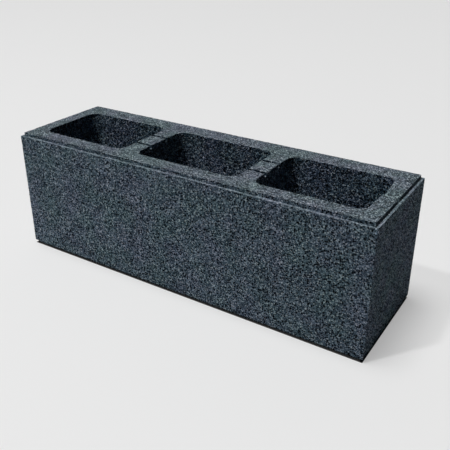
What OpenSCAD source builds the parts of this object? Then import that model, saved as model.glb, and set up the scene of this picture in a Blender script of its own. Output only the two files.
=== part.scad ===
// Long hollow concrete block for walls and fences, with three cells, cast in one piece.
// Sizes are in millimetres. The origin is on the ground under the middle of the block.
// +X runs along the block, -Y is its front face and +Z is up.

/* [Block] */
// Length of the block
block_length = 600; // [480:1:700]
// Depth of the block, front face to back face
block_depth = 180; // [150:1:220]
// Height of the block, bed to bed
block_height = 200; // [150:1:250]

/* [Walls] */
// Thickness of the front wall beside the cells
front_wall = 29; // [22:0.5:34]
// Thickness of the back wall beside the cells
back_wall = 37; // [24:0.5:42]
// Thickness of the wall at each end
end_wall = 27; // [22:0.5:34]
// Thickness of the webs between the cells
web = 28; // [22:0.5:34]
// Radius of the upright corners inside the cells
cell_corner_radius = 15; // [6:0.5:25]

/* [Rebates] */
// Width of the rebate round the top and the bottom edge
rebate_width = 4.5; // [2:0.1:8]
// Height of the rebate round the top and the bottom edge
rebate_height = 5.3; // [3:0.1:12]

/* [Score grooves] */
// Width of the grooves across the top of the webs
groove_width = 5; // [3:0.1:8]
// Depth of the grooves across the top of the webs
groove_depth = 5.5; // [2:0.1:12]
// Distance between the two grooves of a web
groove_spacing = 39.5; // [24:0.5:46]

/* [Hidden] */
// A cut runs this far past the face it starts from
past = 1;
// The webs stand on the third points of the length
web_pitch = block_length / 3;
middle_cell_length = web_pitch - web;
end_cell_length = web_pitch - web / 2 - end_wall;
end_cell_centre = block_length / 2 - end_wall - end_cell_length / 2;
cell_depth = block_depth - front_wall - back_wall;
cell_centre_y = (front_wall - back_wall) / 2;
body_height = block_height - 2 * rebate_height;
$fn = 96;

// Full section between the rebates, and the smaller section that the rebates leave
module outer_body() {
    translate([-block_length / 2, -block_depth / 2, rebate_height])
        cube([block_length, block_depth, body_height]);
    translate([-block_length / 2 + rebate_width, -block_depth / 2 + rebate_width, 0])
        cube([block_length - 2 * rebate_width, block_depth - 2 * rebate_width, block_height]);
}

// Rectangle with round corners, centred on the origin
module cell_outline(length) {
    square([length - 2 * cell_corner_radius, cell_depth], center = true);
    square([length, cell_depth - 2 * cell_corner_radius], center = true);
    for (side_x = [-1, 1], side_y = [-1, 1])
        translate([side_x * (length / 2 - cell_corner_radius), side_y * (cell_depth / 2 - cell_corner_radius)])
            circle(cell_corner_radius);
}

// One cell, open at the top and at the bottom
module cell(centre_x, length) {
    translate([centre_x, cell_centre_y, -past])
        linear_extrude(block_height + 2 * past)
            cell_outline(length);
}

module cells() {
    cell(0, middle_cell_length);
    for (side_x = [-1, 1])
        cell(side_x * end_cell_centre, end_cell_length);
}

// Two score grooves across the top of each web between two cells
module score_grooves() {
    groove_length = web + 2 * past;
    for (side_x = [-1, 1], side_y = [-1, 1])
        translate([
            side_x * web_pitch / 2 - groove_length / 2,
            cell_centre_y + side_y * groove_spacing / 2 - groove_width / 2,
            block_height - groove_depth
        ])
            cube([groove_length, groove_width, groove_depth + past]);
}

module block() {
    color([0.24, 0.27, 0.30])
        difference() {
            outer_body();
            cells();
            score_grooves();
        }
}

block();
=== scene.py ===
# Dresses the hollow concrete block: relief, worn edges, grain, light and camera.
# Lengths are in metres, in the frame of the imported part.
import math

import bmesh
import bpy
import numpy as np
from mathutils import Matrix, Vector, noise
from mathutils.geometry import intersect_point_line


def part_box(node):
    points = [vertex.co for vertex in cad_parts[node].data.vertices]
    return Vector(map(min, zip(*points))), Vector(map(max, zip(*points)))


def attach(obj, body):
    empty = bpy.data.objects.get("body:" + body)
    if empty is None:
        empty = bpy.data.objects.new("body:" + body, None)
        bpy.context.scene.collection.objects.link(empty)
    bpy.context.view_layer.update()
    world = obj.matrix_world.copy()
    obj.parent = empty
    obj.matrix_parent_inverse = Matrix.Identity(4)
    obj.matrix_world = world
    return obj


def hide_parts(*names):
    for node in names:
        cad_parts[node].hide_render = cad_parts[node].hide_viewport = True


NODE = "block"
SEED = 7

# Slicing of the block's faces into a fine mesh, with narrow strips along both sides of each arris
FACE_STEP = 0.0026
CELL_STEP = 0.0052
ARRIS_STRIP = 0.0009
REBATE_WIDTH = 0.0045
REBATE_HEIGHT = 0.0053
# Upright faces this far inside the block's sides belong to a cell or to a groove in a web
CELL_MARGIN = 0.012
# A face looks mostly along an axis where its normal has more than this along it
FACING = 0.5
# Places this close count as the same, and a vertex this close to a cutting plane is on it
TINY = 1e-6
ON_PLANE = 1e-7
# Faces that turn by less than this are made one before the slicing
FLAT_ANGLE = 0.01

# Relief, inwards from the true faces
SAND_DEPTH = 0.0002
SWELL_DEPTH = 0.0002
SWELL_SIZE = 0.009
PORE_SHARE = 0.05
PORE_DEPTH = (0.0004, 0.0011)
ARRIS_DEPTH = (0.0, 0.0003)
SHARP_ANGLE = math.radians(40)
# Chips in the outer edges, where a noise of this size rises above the level
CHIP_SIZE = 0.007
CHIP_OFFSET = (3.1, 7.7, 1.9)
CHIP_LEVEL = 0.42
CHIP_DEPTH = 0.0016
# Marks that the shallowest and the deepest pore leave for the material's painted shade
PORE_MARK = (0.4, 1.0)
# Knocks on the edges: the two ends of each, its reach, and the push and tone at its second end; the
# tones above 1 are painted highlights on the chipped spots
KNOCKS = (
    ((0.273, 0.036, 0.2), (0.273, -0.001, 0.2), 0.008, (0.0027, 0, 0), 1.0),
    ((0.2955, 0.002, 0.199), (0.2955, -0.006, 0.199), 0.005, (-0.0022, 0, -0.0022), 2.0),
    ((0.3, -0.09, 0.199), (0.3, -0.09, 0.191), 0.006, (-0.0016, 0.0016, 0), 3.2),
)

# Colours of the cement on the faces, of the cells' painted shade, of dusty upward faces with a
# painted sheen, and of pale grains
FACE_COLOUR = (0.0925, 0.143, 0.192)
CELL_SHADE_COLOUR = (0.052, 0.096, 0.151)
DUST_AND_SHEEN_COLOUR = (0.097, 0.1275, 0.155)
GRAIN_COLOUR = (0.125, 0.138, 0.146)
# Slow drift of the colour between a green and a purple cast, over the middle part of a noise
TINT_SCALE = 22.0
TINT_DETAIL = 2.0
TINT_SPAN = (0.35, 0.65)
GREEN_CAST = (0.95, 1.022, 0.96)
PURPLE_CAST = (1.05, 0.978, 1.04)

# In the rest of the material, scales are in cells or waves to the metre, and tones are shares of
# the colours above. Grains tilt each their own way, and a higher rarity leaves fewer of them pale.
GRAIN_SCALE = 850.0
GRAIN_TONES = (0.66, 5.8)
GRAIN_RARITY = 4.0
GRAIN_TILT = 0.45
# Pits: their radii, the share of them with the smallest, how much of a radius is flat floor, and the
# painted shade in them
PIT_SCALE = 360.0
PIT_RADII = (0.3, 0.65)
SMALLEST_PITS = 0.1
PIT_FLOOR = 0.6
PIT_SHADE = 0.0
# Sand and slow clouds take their tones over the middle part of a noise
NOISE_SPAN = (0.3, 0.7)
SAND_SCALE = 1400.0
SAND_DETAIL = 2.0
SAND_TONES = (0.75, 1.25)
CLOUD_SCALE = 14.0
CLOUD_DETAIL = 4.0
CLOUD_TONES = (0.93, 1.07)
# Pores of the relief darken from this mark up by painted shade, and worn edges are paler, partly
# from rubbing and partly by a painted highlight
PORE_RIM = 0.3
PORE_SHADE = 0.4
WEAR_AND_HIGHLIGHT_TONE = 1.25
# Dust and a painted sheen even out the tones of upward faces by this share
DUST_AND_SHEEN_SHARE = 0.3
# Inside the cells the concrete is darker and bluer by painted shade, and its tones stand out more by
# this share, a painted stand-in for the hard light in them
CELL_SHADE_TONE = 0.80
CELL_CONTRAST = 0.8
DARKEST_TONE = 0.02
# The ledge of the rebate takes more of the dusty colour and painted sheen than the other upward
# faces, and is paler by a painted highlight
LEDGE_DUST_AND_SHEEN = 2.0
LEDGE_HIGHLIGHT_TONE = 1.5
# The steps of the rebate are darker by painted shade, most of all at the ends, where the strip of
# ledge beside them carries a painted shadow of the step
SIDE_STEP_SHADE = 0.9
END_STEP_SHADE = 0.4
END_STRIP_SHADOW = 0.45
# The foot of each end darkens over this height, a painted contact shade
END_FOOT_SHADE = 0.6
END_FOOT_SHADE_HEIGHT = 0.009
# Height of the sand and depth of the pits in the bump, as shares of its distance
SAND_BUMP = 0.35
PIT_BUMP = 1.2
BUMP_DISTANCE = 0.0012
ROUGHNESS = 0.88
GLOSS = 0.03

# Camera, fitted to the photo's edges
FOCAL_PX = 641.0
FRAME_PX = 450
CENTRE_ROW_PX = 208.57
CAMERA_PLACE = (0.50420, -0.73689, 0.54002)
CAMERA_AZIMUTH = 0.56926
CAMERA_DIP = 0.45241
SENSOR_MM = 36
CLIP_NEAR = 0.01
CLIP_FAR = 100

# Light: a key at the front left, a broad lamp overhead, and a faint glow from behind at the left
KEY_PLACE = (-1.02, -1.83, 3.8)
KEY_POWER = 195.0
KEY_RADIUS = 0.14
OVERHEAD_TRAVEL = (0.14, 0.09, -1.0)
OVERHEAD_STRENGTH = 2.0
OVERHEAD_ANGLE = math.radians(24)
# The glow fades from full in this direction to none where the cosine with it is at the edge
GLOW_TOWARDS = (-0.45, 0.72, 0.53)
GLOW_EDGE = 0.5
GLOW_STRENGTH = 0.3
BACKDROP = 0.8
FLOOR_SIZE = 30
# The camera sees the floor partly by its own even glow, so that shadows on it stay light
FLOOR_SEEN = 0.5
FLOOR_GLOW = 0.34
# Share of its light that the floor throws back, left and right of the block, and where it changes;
# the smaller share at the right is painted shade for the block's right end
FLOOR_BOUNCE = (0.55, 0.28)
FLOOR_BOUNCE_REACH = (-0.3, 0.6)
# The floor under the block is dark and glows less, and not at all under the rebates of its ends:
# painted shade under the block and along its foot
FLOOR_PAINTED_SHADE = 0.03
COVERED_GLOW = 0.02
# How far the painted shade on the floor reaches past the block along X and Y, as it is seen and as
# it lights; past the ends it also shades their foot
COVERED_SEEN = (-0.0004, -0.0004)
COVERED_BOUNCE = (0.02, 0.0)


def slices(low, high, step):
    """Places that divide low to high into even steps near the given one."""
    count = round((high - low) / step)
    return [low + (high - low) * i / count for i in range(1, count)]


def arris_strips(low, high, inset):
    """Edges of the strips along the outer arrises and along those of the rebate, on one axis."""
    depths = (ARRIS_STRIP, inset - ARRIS_STRIP, inset + ARRIS_STRIP)
    return [low + depth for depth in depths] + [high - depth for depth in depths]


def is_cell_wall(face, low, high):
    """Upright faces well inside the block: the walls of the cells and of the grooves in the webs."""
    middle = face.calc_center_median()
    inside_x = low.x + CELL_MARGIN < middle.x < high.x - CELL_MARGIN
    inside_y = low.y + CELL_MARGIN < middle.y < high.y - CELL_MARGIN
    return abs(face.normal.z) < FACING and inside_x and inside_y


def is_coarse(face, low, high):
    """Cell walls and faces that look down are sliced into larger pieces."""
    return is_cell_wall(face, low, high) or face.normal.z < -FACING


def is_in_rebate(face, low, high):
    """The step and the ledge of the rebate, round the top and round the bottom."""
    middle = face.calc_center_median()
    if not low.z + TINY < middle.z < high.z - TINY:
        return False
    at_height = min(middle.z - low.z, high.z - middle.z) < REBATE_HEIGHT + TINY
    near_x = min(middle.x - low.x, high.x - middle.x) < REBATE_WIDTH + TINY
    near_y = min(middle.y - low.y, high.y - middle.y) < REBATE_WIDTH + TINY
    return at_height and (near_x or near_y)


def rebate_shade_and_highlight(face, low, high):
    """Tone of a step or a ledge of the rebate, as a share of the cast faces' own: painted shade on
    the steps and on the strip of ledge beside the end steps, a painted highlight on the rest of the
    ledge.
    """
    middle = face.calc_center_median()
    end_inset = min(middle.x - low.x, high.x - middle.x)
    if abs(face.normal.x) > FACING:
        return END_STEP_SHADE
    if abs(face.normal.y) > FACING:
        return SIDE_STEP_SHADE
    if REBATE_WIDTH - ARRIS_STRIP < end_inset < REBATE_WIDTH:
        return END_STRIP_SHADOW
    return LEDGE_HIGHLIGHT_TONE


def end_foot_shade(face, low):
    """Tone of the outer end faces, darkened towards the foot by painted contact shade, and 1
    elsewhere.
    """
    middle = face.calc_center_median()
    height = middle.z - low.z - REBATE_HEIGHT
    if abs(middle.x) < abs(low.x) - TINY or not 0 < height < END_FOOT_SHADE_HEIGHT:
        return 1.0
    return END_FOOT_SHADE + (1 - END_FOOT_SHADE) * height / END_FOOT_SHADE_HEIGHT


def knock_share(place, start, end, reach):
    """How much a knock acts: fully at its second end, not at its first or past its reach."""
    _, along = intersect_point_line(place, Vector(start), Vector(end))
    along = min(max(along, 0), 1)
    nearest = Vector(start).lerp(Vector(end), along)
    return max(1 - (place - nearest).length / reach, 0) * along


def knock_push(place):
    """How far the knocks push a vertex."""
    push = Vector((0, 0, 0))
    for start, end, reach, full_push, _ in KNOCKS:
        push += Vector(full_push) * knock_share(place, start, end, reach)
    return push


def knock_and_highlight_tone(place, tone):
    """The given tone, drawn towards that of the knocks, whose pale tones are painted highlights."""
    for start, end, reach, _, full_tone in KNOCKS:
        tone += (full_tone - tone) * knock_share(place, start, end, reach)
    return tone


def cut(mesh, faces, axis, places):
    """Slices the given faces with planes across one axis, from the lowest plane up."""
    normal = Vector((0, 0, 0))
    normal[axis] = 1
    for place in sorted(places):
        faces = [f for f in faces if max(v.co[axis] for v in f.verts) > place + TINY]
        parts = set(faces)
        for f in faces:
            parts.update(f.edges)
            parts.update(f.verts)
        result = bmesh.ops.bisect_plane(
            mesh,
            geom=list(parts),
            plane_co=normal * place,
            plane_no=normal,
            dist=ON_PLANE,
        )
        faces = [part for part in result["geom"] if isinstance(part, bmesh.types.BMFace)]


def fine_mesh(node):
    """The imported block's own faces, welded and sliced into small ones."""
    low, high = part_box(NODE)
    mesh = bmesh.new()
    mesh.from_mesh(node.data)
    bmesh.ops.remove_doubles(mesh, verts=mesh.verts, dist=TINY)
    bmesh.ops.dissolve_limit(mesh, angle_limit=FLAT_ANGLE, verts=mesh.verts, edges=mesh.edges)
    for axis, inset in enumerate((REBATE_WIDTH, REBATE_WIDTH, REBATE_HEIGHT)):
        cut(mesh, list(mesh.faces), axis, arris_strips(low[axis], high[axis], inset))
    # The order of these cuts sets which random draw each vertex gets in relief()
    for axis in (0, 2, 1):
        fine = [f for f in mesh.faces if not is_coarse(f, low, high)]
        cut(mesh, fine, axis, slices(low[axis], high[axis], FACE_STEP))
        coarse = [f for f in mesh.faces if is_coarse(f, low, high)]
        cut(mesh, coarse, axis, slices(low[axis], high[axis], CELL_STEP))
    mesh.normal_update()
    return mesh


def mark_faces(mesh):
    """Stores for the material how much of the dusty, painted-sheen colour each face takes, whether
    it is in a cell, and its tone with painted shade and highlights.
    """
    low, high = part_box(NODE)
    dust_and_sheen = mesh.faces.layers.float.new("dust_and_sheen")
    inside = mesh.faces.layers.float.new("inside")
    tone = mesh.faces.layers.float.new("tone")
    for face in mesh.faces:
        # Upward faces take a dusty colour and a painted sheen
        face[dust_and_sheen] = max(face.normal.z, 0)
        face[inside] = float(is_cell_wall(face, low, high))
        # The cells and the foot of the ends take painted shade
        face[tone] = CELL_SHADE_TONE if face[inside] else end_foot_shade(face, low)
        # The rebate's steps and the strip beside the end steps take painted shade, the rest of its
        # ledge a painted highlight
        if is_in_rebate(face, low, high):
            face[dust_and_sheen] *= LEDGE_DUST_AND_SHEEN
            face[tone] = rebate_shade_and_highlight(face, low, high)
        # Knocks pale their spots with painted highlights
        face[tone] = knock_and_highlight_tone(face.calc_center_median(), face[tone])


def outer_edge_vertices(mesh):
    """Makes every sharp edge shade as one, and gives the vertices of those that stand out."""
    standing_out = set()
    for edge in mesh.edges:
        turn = edge.calc_face_angle_signed(0)
        if abs(turn) > SHARP_ANGLE:
            edge.smooth = False
        if turn > SHARP_ANGLE:
            standing_out.update(edge.verts)
    return standing_out


def part_way(limits, share):
    return limits[0] + (limits[1] - limits[0]) * share


def chip_depth(place):
    """Depth of a chip in an outer edge, and 0 between the chips."""
    level = noise.noise(place / CHIP_SIZE + Vector(CHIP_OFFSET))
    return CHIP_DEPTH * max(level - CHIP_LEVEL, 0) / (1 - CHIP_LEVEL)


def relief(mesh):
    """Moves each vertex inwards: sand, pores, a slow swell, knocks, and worn outer edges; it marks
    the pores for painted shade and the worn edges for a paler tone, partly a painted highlight.
    """
    rng = np.random.default_rng(SEED)
    pore = mesh.verts.layers.float.new("pore")
    wear_and_highlight = mesh.verts.layers.float.new("wear_and_highlight")
    on_outer_edge = outer_edge_vertices(mesh)
    for vert in mesh.verts:
        sand, is_pore, pore_depth, worn = rng.random(4)
        # Half of the swell, more or less by a noise from -1 to 1
        depth = SWELL_DEPTH * (0.5 + 0.5 * noise.noise(vert.co / SWELL_SIZE))
        if vert in on_outer_edge:
            depth += part_way(ARRIS_DEPTH, worn)
            depth += chip_depth(vert.co)
            # Outer edges are marked for a paler tone, partly rubbed and partly a painted highlight
            vert[wear_and_highlight] = 1.0
        else:
            depth += SAND_DEPTH * sand
            if is_pore < PORE_SHARE:
                depth += part_way(PORE_DEPTH, pore_depth)
                # Pores are marked for painted shade in them
                vert[pore] = part_way(PORE_MARK, pore_depth)
        vert.co = vert.co - vert.normal * depth + knock_push(vert.co)


def node_at(tree, kind, **values):
    """A shader node with its settings, and its inputs where a name fits one."""
    made = tree.nodes.new(kind)
    for name, value in values.items():
        if name in made.inputs:
            made.inputs[name].default_value = value
        else:
            setattr(made, name, value)
    return made


def feed(tree, socket, value):
    """Links an output to a socket, or sets the socket to a plain number or colour."""
    if isinstance(value, (int, float, tuple)):
        socket.default_value = value
    else:
        tree.links.new(value, socket)


def math_of(tree, operation, first, second=0.0):
    made = node_at(tree, "ShaderNodeMath", operation=operation)
    feed(tree, made.inputs[0], first)
    feed(tree, made.inputs[1], second)
    return made.outputs[0]


def product(tree, *factors):
    result = factors[0]
    for factor in factors[1:]:
        result = math_of(tree, "MULTIPLY", result, factor)
    return result


def ramp(tree, source, low, high, out_low, out_high):
    """Maps low..high to out_low..out_high, and holds the ends."""
    made = node_at(tree, "ShaderNodeMapRange")
    feed(tree, made.inputs["Value"], source)
    feed(tree, made.inputs["From Min"], low)
    feed(tree, made.inputs["From Max"], high)
    feed(tree, made.inputs["To Min"], out_low)
    feed(tree, made.inputs["To Max"], out_high)
    return made.outputs["Result"]


def by_share(tree, share, at_none, at_full):
    """Goes from one number to another while a share goes from 0 to 1."""
    return ramp(tree, share, 0.0, 1.0, at_none, at_full)


def vector_of(tree, operation, *operands):
    made = node_at(tree, "ShaderNodeVectorMath", operation=operation)
    for socket, operand in zip(made.inputs, operands):
        feed(tree, socket, operand)
    return made.outputs[0]


def scaled(tree, vector, factor):
    made = node_at(tree, "ShaderNodeVectorMath", operation="SCALE")
    feed(tree, made.inputs[0], vector)
    feed(tree, made.inputs["Scale"], factor)
    return made.outputs[0]


def blend(tree, share, first, second):
    """Goes from one colour to another; each is a plain colour or an output."""
    made = node_at(tree, "ShaderNodeMix", data_type="VECTOR")
    tree.links.new(share, made.inputs["Factor"])
    # Of its sockets, inputs 4 and 5 and output 1 are the ones for vectors
    feed(tree, made.inputs[4], first)
    feed(tree, made.inputs[5], second)
    return made.outputs[1]


def texture(tree, kind, **values):
    """A texture in the block's own coordinates."""
    made = node_at(tree, kind, **values)
    place = node_at(tree, "ShaderNodeTexCoord").outputs["Object"]
    tree.links.new(place, made.inputs["Vector"])
    return made


def waves(tree, scale, detail):
    return texture(tree, "ShaderNodeTexNoise", Scale=scale, Detail=detail).outputs[0]


def cell_number(tree, cells):
    """A random number from 0 to 1 for each cell of a texture, from its random colour."""
    split = node_at(tree, "ShaderNodeSeparateColor")
    tree.links.new(cells.outputs["Color"], split.inputs[0])
    return split.outputs[0]


def stored(tree, name):
    """A number that mark_faces() or relief() stored on the mesh."""
    return node_at(tree, "ShaderNodeAttribute", attribute_name=name).outputs["Fac"]


def pit_share(tree):
    """1 on the flat floor of a pit and 0 outside its radius."""
    pits = texture(tree, "ShaderNodeTexVoronoi", Scale=PIT_SCALE)
    radius = ramp(tree, cell_number(tree, pits), SMALLEST_PITS, 1.0, *PIT_RADII)
    outwards = math_of(tree, "DIVIDE", pits.outputs["Distance"], radius)
    return ramp(tree, outwards, PIT_FLOOR, 1.0, 1.0, 0.0)


def concrete_tone(tree, paleness, sand, pit):
    """Tone of the concrete with its painted shade and highlights, evened out on dusty upward faces
    by a painted sheen, and standing out more inside the cells.
    """
    cloud = waves(tree, CLOUD_SCALE, CLOUD_DETAIL)
    # Painted shade darkens the pits and pores, and a painted highlight partly pales the worn edges
    tone = product(
        tree,
        by_share(tree, paleness, *GRAIN_TONES),
        ramp(tree, sand, *NOISE_SPAN, *SAND_TONES),
        ramp(tree, cloud, *NOISE_SPAN, *CLOUD_TONES),
        by_share(tree, pit, 1.0, PIT_SHADE),
        ramp(tree, stored(tree, "pore"), PORE_RIM, 1.0, 1.0, PORE_SHADE),
        by_share(tree, stored(tree, "wear_and_highlight"), 1.0, WEAR_AND_HIGHLIGHT_TONE),
    )
    by_dust_and_sheen = product(tree, stored(tree, "dust_and_sheen"), DUST_AND_SHEEN_SHARE)
    by_cell = product(tree, stored(tree, "inside"), CELL_CONTRAST)
    evened = math_of(tree, "SUBTRACT", by_dust_and_sheen, by_cell)
    kept = math_of(tree, "SUBTRACT", 1.0, evened)
    tone = math_of(tree, "ADD", product(tree, tone, kept), evened)
    return product(tree, math_of(tree, "MAXIMUM", tone, DARKEST_TONE), stored(tree, "tone"))


def concrete_colour(tree, paleness):
    """Colour of cement, of the cells' painted shade, of dusty upward faces with a painted sheen, and
    of pale grains, which drifts slowly between two casts.
    """
    # The cells take a darker, bluer colour as painted shade
    colour = blend(tree, stored(tree, "inside"), FACE_COLOUR, CELL_SHADE_COLOUR)
    colour = blend(tree, stored(tree, "dust_and_sheen"), colour, DUST_AND_SHEEN_COLOUR)
    colour = blend(tree, paleness, colour, GRAIN_COLOUR)
    drift = ramp(tree, waves(tree, TINT_SCALE, TINT_DETAIL), *TINT_SPAN, 0.0, 1.0)
    return vector_of(tree, "MULTIPLY", colour, blend(tree, drift, GREEN_CAST, PURPLE_CAST))


def faceted(tree, grains, normal):
    """Tilts the normal by grain, each one its own way, as the broken faces of crushed stone."""
    middle_of_colours = (0.5, 0.5, 0.5)
    centred = vector_of(tree, "SUBTRACT", grains.outputs["Color"], middle_of_colours)
    leaning = vector_of(tree, "ADD", normal, scaled(tree, centred, GRAIN_TILT))
    return vector_of(tree, "NORMALIZE", leaning)


def new_material(name):
    material = bpy.data.materials.new(name)
    material.use_nodes = True
    return material


def concrete():
    """Dark blue-grey concrete: grains of many shades, open pits between them and worn edges, with
    painted shade in pits, pores, cells and rebates, and painted highlights.
    """
    material = new_material("concrete")
    tree = material.node_tree
    shader = tree.nodes["Principled BSDF"]
    grains = texture(tree, "ShaderNodeTexVoronoi", Scale=GRAIN_SCALE)
    paleness = math_of(tree, "POWER", cell_number(tree, grains), GRAIN_RARITY)
    sand = waves(tree, SAND_SCALE, SAND_DETAIL)
    pit = pit_share(tree)
    tone = concrete_tone(tree, paleness, sand, pit)
    colour = scaled(tree, concrete_colour(tree, paleness), tone)
    tree.links.new(colour, shader.inputs["Base Color"])

    height = math_of(tree, "SUBTRACT", product(tree, sand, SAND_BUMP), product(tree, pit, PIT_BUMP))
    bump = node_at(tree, "ShaderNodeBump", Strength=1.0, Distance=BUMP_DISTANCE)
    tree.links.new(height, bump.inputs["Height"])
    tree.links.new(faceted(tree, grains, bump.outputs["Normal"]), shader.inputs["Normal"])
    shader.inputs["Roughness"].default_value = ROUGHNESS
    shader.inputs["Specular IOR Level"].default_value = GLOSS
    return material


def new_object(name, data):
    made = bpy.data.objects.new(name, data)
    bpy.context.scene.collection.objects.link(made)
    return made


def build_block(frame):
    mesh = fine_mesh(frame["nodes"][NODE])
    mark_faces(mesh)
    relief(mesh)
    data = bpy.data.meshes.new("cast_block")
    mesh.to_mesh(data)
    mesh.free()
    for polygon in data.polygons:
        polygon.use_smooth = True
    data.materials.append(concrete())
    block = new_object("cast_block", data)
    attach(block, "root")
    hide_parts(NODE)


def grey(value):
    return (value, value, value, 1)


def show_and_light(tree, output, shown, lighting):
    """Shows one shader to the camera, also by mirrors and through glass, and lights by the other."""
    path = node_at(tree, "ShaderNodeLightPath")
    sees = math_of(tree, "MAXIMUM", path.outputs["Is Camera Ray"], path.outputs["Is Glossy Ray"])
    sees = math_of(tree, "MAXIMUM", sees, path.outputs["Is Transmission Ray"])
    choice = node_at(tree, "ShaderNodeMixShader")
    tree.links.new(sees, choice.inputs[0])
    tree.links.new(lighting, choice.inputs[1])
    tree.links.new(shown, choice.inputs[2])
    tree.links.new(choice.outputs[0], tree.nodes[output].inputs["Surface"])


def is_covered(tree, place, margins):
    """1 where the floor lies under the block, widened by the margins along X and Y, else 0."""
    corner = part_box(NODE)[1]
    within = []
    for axis in range(2):
        reach = math_of(tree, "ABSOLUTE", place[axis])
        within.append(math_of(tree, "LESS_THAN", reach, corner[axis] + margins[axis]))
    return product(tree, *within)


def shown_floor(tree, place):
    """The floor as it is seen: partly shaded and partly glowing evenly, with painted shade under the
    block.
    """
    covered = is_covered(tree, place, COVERED_SEEN)
    shaded = node_at(tree, "ShaderNodeBsdfDiffuse")
    tree.links.new(by_share(tree, covered, FLOOR_SEEN, FLOOR_PAINTED_SHADE), shaded.inputs["Color"])
    between_rebates = is_covered(tree, place, (-REBATE_WIDTH, 0.0))
    covered_glow = product(tree, between_rebates, COVERED_GLOW)
    glowing = node_at(tree, "ShaderNodeEmission")
    tree.links.new(by_share(tree, covered, FLOOR_GLOW, covered_glow), glowing.inputs["Strength"])
    both = node_at(tree, "ShaderNodeAddShader")
    tree.links.new(shaded.outputs[0], both.inputs[0])
    tree.links.new(glowing.outputs[0], both.inputs[1])
    return both.outputs[0]


def lighting_floor(tree, place):
    """The floor as it lights the block: less at the right and hardly at all from under it, as
    painted shade on the right end, the foot and the cells.
    """
    covered = is_covered(tree, place, COVERED_BOUNCE)
    open_share = ramp(tree, place[0], *FLOOR_BOUNCE_REACH, *FLOOR_BOUNCE)
    bounce = node_at(tree, "ShaderNodeBsdfDiffuse")
    tree.links.new(by_share(tree, covered, open_share, FLOOR_PAINTED_SHADE), bounce.inputs["Color"])
    return bounce.outputs[0]


def build_floor():
    """A pale floor with soft shadows, which throws less light back than the camera sees on it."""
    bpy.ops.mesh.primitive_plane_add(size=FLOOR_SIZE)
    floor = bpy.context.object
    floor.name = "floor"
    material = new_material("floor")
    tree = material.node_tree
    tree.nodes.remove(tree.nodes["Principled BSDF"])
    split = node_at(tree, "ShaderNodeSeparateXYZ")
    tree.links.new(node_at(tree, "ShaderNodeTexCoord").outputs["Object"], split.inputs[0])
    place = split.outputs
    show_and_light(tree, "Material Output", shown_floor(tree, place), lighting_floor(tree, place))
    floor.data.materials.append(material)


def build_lamps():
    bulb = bpy.data.lights.new("key", "POINT")
    bulb.energy = KEY_POWER
    bulb.shadow_soft_size = KEY_RADIUS
    key = new_object("key", bulb)
    key.location = KEY_PLACE

    panel = bpy.data.lights.new("overhead", "SUN")
    panel.energy = OVERHEAD_STRENGTH
    panel.angle = OVERHEAD_ANGLE
    overhead = new_object("overhead", panel)
    overhead.rotation_mode = "QUATERNION"
    overhead.rotation_quaternion = Vector(OVERHEAD_TRAVEL).to_track_quat("-Z", "Y")


def build_glow():
    """Faint light from behind the block, in front of a pale backdrop."""
    world = bpy.data.worlds.new("glow")
    bpy.context.scene.world = world
    world.use_nodes = True
    tree = world.node_tree
    cosine = node_at(tree, "ShaderNodeVectorMath", operation="DOT_PRODUCT")
    tree.links.new(node_at(tree, "ShaderNodeTexCoord").outputs["Generated"], cosine.inputs[0])
    cosine.inputs[1].default_value = GLOW_TOWARDS
    light = tree.nodes["Background"]
    light.inputs["Color"].default_value = grey(1)
    strength = ramp(tree, cosine.outputs["Value"], GLOW_EDGE, 1.0, 0.0, GLOW_STRENGTH)
    tree.links.new(strength, light.inputs["Strength"])
    backdrop = node_at(tree, "ShaderNodeBackground", Color=grey(BACKDROP))
    show_and_light(tree, "World Output", backdrop.outputs[0], light.outputs[0])


def build_camera():
    lens = bpy.data.cameras.new("camera")
    lens.sensor_width = SENSOR_MM
    lens.lens = FOCAL_PX / FRAME_PX * SENSOR_MM
    lens.shift_y = (CENTRE_ROW_PX - FRAME_PX / 2) / FRAME_PX
    lens.clip_start = CLIP_NEAR
    lens.clip_end = CLIP_FAR
    camera = new_object("camera", lens)
    camera.location = CAMERA_PLACE
    camera.rotation_euler = (math.pi / 2 - CAMERA_DIP, 0, CAMERA_AZIMUTH)
    bpy.context.scene.camera = camera


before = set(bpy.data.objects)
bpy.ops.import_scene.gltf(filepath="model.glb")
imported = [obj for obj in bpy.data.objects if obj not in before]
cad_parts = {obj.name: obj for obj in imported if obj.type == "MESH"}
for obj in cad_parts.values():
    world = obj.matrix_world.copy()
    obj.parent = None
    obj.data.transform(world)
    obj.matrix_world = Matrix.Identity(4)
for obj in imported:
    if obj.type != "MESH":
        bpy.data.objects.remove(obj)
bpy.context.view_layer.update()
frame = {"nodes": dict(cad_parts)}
build_block(frame)
build_floor()
build_lamps()
build_glow()
build_camera()
bpy.context.scene.view_settings.view_transform = "Standard"
bpy.context.view_layer.update()
